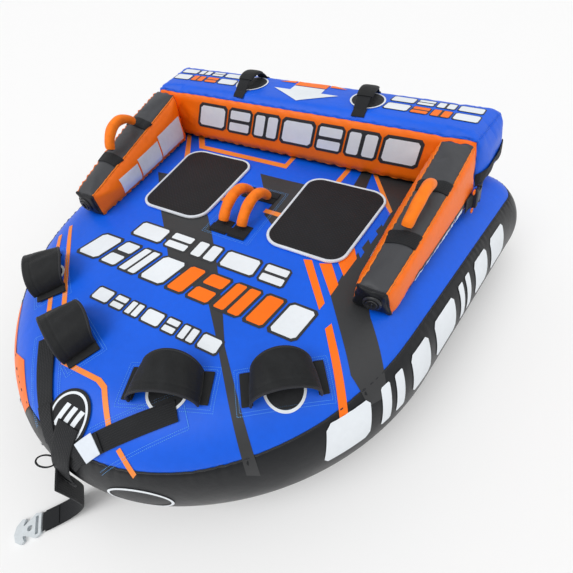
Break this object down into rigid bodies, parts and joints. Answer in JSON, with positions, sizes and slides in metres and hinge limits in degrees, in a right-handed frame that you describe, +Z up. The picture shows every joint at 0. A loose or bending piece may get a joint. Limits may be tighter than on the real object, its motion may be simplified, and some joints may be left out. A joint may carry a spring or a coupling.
{
  "type": "towable tube",
  "caption": "Inflated wedge-shaped deck tube with seat pads, armrests, a fold-down backrest held by side-release buckles, guarded and arched grab handles, and a tow harness with a hook.",
  "frame": {"origin": "centre of the flat bottom, under the middle of the hull, tow leader and hook left out", "axes": "+Z up, the nose and the tow leader point to -Y, the backrest is at +Y, +X is the rider's left to right across the tube seen from behind"},
  "size_m": [1.72, 1.6807, 0.5924],
  "materials": {
    "blue_nylon": "satin coated weave",
    "black_nylon": "satin coated weave",
    "vinyl": "smooth",
    "orange_nylon": "satin coated weave",
    "cap_nylon": "coated weave",
    "eva_foam": "embossed matt",
    "white_binding": "woven tape",
    "neoprene": "matt",
    "orange_foam": "matt foam",
    "black_webbing": "woven",
    "badge_vinyl": "gloss",
    "white_plastic": "satin",
    "black_plastic": "satin",
    "zip_metal": "satin"
  },
  "bodies": {
    "hull": {"cover_bottom": "black_nylon", "cover_side": "black_nylon", "cover_top": "blue_nylon", "hull_bladder": "vinyl", "armrest_cover_right": "orange_nylon", "armrest_bladder_right": "vinyl", "armrest_cap_right": "cap_nylon", "seat_pad_right": "eva_foam", "seat_binding_right": "white_binding", "knuckle_guard_inner_right": "neoprene", "knuckle_guard_outer_right": "neoprene", "guard_grip_inner_right": "orange_foam", "guard_grip_outer_right": "orange_foam", "armrest_tabs_right": "black_webbing", "harness_strap_right": "black_webbing", "buckle_socket_right": "black_plastic", "armrest_strap_right": "black_webbing", "armrest_right_valve": "black_plastic", "armrest_cover_left": "orange_nylon", "armrest_bladder_left": "vinyl", "armrest_cap_left": "cap_nylon", "seat_pad_left": "eva_foam", "seat_binding_left": "white_binding", "knuckle_guard_inner_left": "neoprene", "knuckle_guard_outer_left": "neoprene", "guard_grip_inner_left": "orange_foam", "guard_grip_outer_left": "orange_foam", "armrest_tabs_left": "black_webbing", "harness_strap_left": "black_webbing", "buckle_socket_left": "black_plastic", "armrest_strap_left": "black_webbing", "armrest_left_valve": "black_plastic", "guard_patches": "neoprene", "centre_handle_tabs": "black_webbing", "tow_loop": "black_webbing", "nose_badge": "badge_vinyl", "tow_leader": "black_webbing", "hull_valve": "black_plastic", "zipper_tape": "black_webbing"},
    "backrest": {"backrest_cover": "orange_nylon", "backrest_bladder": "vinyl", "backrest_strap_right": "black_webbing", "backrest_strap_left": "black_webbing", "backrest_handle_right": "black_webbing", "backrest_handle_left": "black_webbing", "backrest_patches": "neoprene", "backrest_valve": "black_plastic"},
    "buckle_latch_right": {"buckle_latch_right": "black_plastic"},
    "buckle_latch_left": {"buckle_latch_left": "black_plastic"},
    "armrest_right_plug": {"armrest_right_plug": "black_plastic"},
    "armrest_left_plug": {"armrest_left_plug": "black_plastic"},
    "backrest_plug": {"backrest_plug": "black_plastic"},
    "hull_plug": {"hull_plug": "black_plastic"},
    "zipper_slider": {"zipper_slider": "zip_metal"},
    "centre_grip_right": {"centre_grip_right": "orange_foam"},
    "centre_grip_left": {"centre_grip_left": "orange_foam"},
    "armrest_grip_right": {"armrest_grip_right": "orange_foam"},
    "armrest_grip_left": {"armrest_grip_left": "orange_foam"},
    "tow_hook": {"tow_hook": "white_plastic"}
  },
  "joints": [
    {"name": "backrest_fold", "type": "hinge", "parent": "hull", "child": "backrest", "pos_m": [0, 0.678, 0.362], "axis": [-1, 0, 0], "range_deg": [0, 110]},
    {"name": "buckle_latch_right_slide", "type": "slide", "parent": "hull", "child": "buckle_latch_right", "axis": [0.2147, 0.9767, 0], "range_m": [0, 0.03]},
    {"name": "buckle_latch_left_slide", "type": "slide", "parent": "hull", "child": "buckle_latch_left", "axis": [-0.2147, 0.9767, 0], "range_m": [0, 0.03]},
    {"name": "armrest_right_plug_pull", "type": "slide", "parent": "hull", "child": "armrest_right_plug", "axis": [0, -1, 0], "range_m": [0, 0.025]},
    {"name": "armrest_left_plug_pull", "type": "slide", "parent": "hull", "child": "armrest_left_plug", "axis": [0, -1, 0], "range_m": [0, 0.025]},
    {"name": "backrest_plug_pull", "type": "slide", "parent": "backrest", "child": "backrest_plug", "axis": [0, 1, 0], "range_m": [0, 0.025]},
    {"name": "hull_plug_pull", "type": "slide", "parent": "hull", "child": "hull_plug", "axis": [0, 0.8192, -0.5736], "range_m": [0, 0.025]},
    {"name": "zipper_slide", "type": "slide", "parent": "hull", "child": "zipper_slider", "axis": [-1, 0, 0], "range_m": [0, 1.04]},
    {"name": "centre_grip_right_swing", "type": "hinge", "parent": "hull", "child": "centre_grip_right", "pos_m": [0.033, 0.0615, 0.378], "axis": [0, 1, 0], "range_deg": [-25, 25], "stiffness_Nm_per_rad": 0.4},
    {"name": "centre_grip_left_swing", "type": "hinge", "parent": "hull", "child": "centre_grip_left", "pos_m": [-0.033, 0.0615, 0.378], "axis": [0, 1, 0], "range_deg": [-25, 25], "stiffness_Nm_per_rad": 0.4},
    {"name": "armrest_grip_right_swing", "type": "hinge", "parent": "hull", "child": "armrest_grip_right", "pos_m": [0.49977, 0.09544, 0.511], "axis": [0.1471, 0.969, 0.1987], "range_deg": [-25, 25], "stiffness_Nm_per_rad": 0.4},
    {"name": "armrest_grip_left_swing", "type": "hinge", "parent": "hull", "child": "armrest_grip_left", "pos_m": [-0.49977, 0.09544, 0.511], "axis": [-0.1471, 0.969, 0.1987], "range_deg": [-25, 25], "stiffness_Nm_per_rad": 0.4},
    {"name": "tow_hook_lift", "type": "hinge", "parent": "hull", "child": "tow_hook", "pos_m": [-0.11313, -0.88582, 0.0004], "axis": [-0.766, 0.6428, 0], "range_deg": [0, 80]}
  ]
}
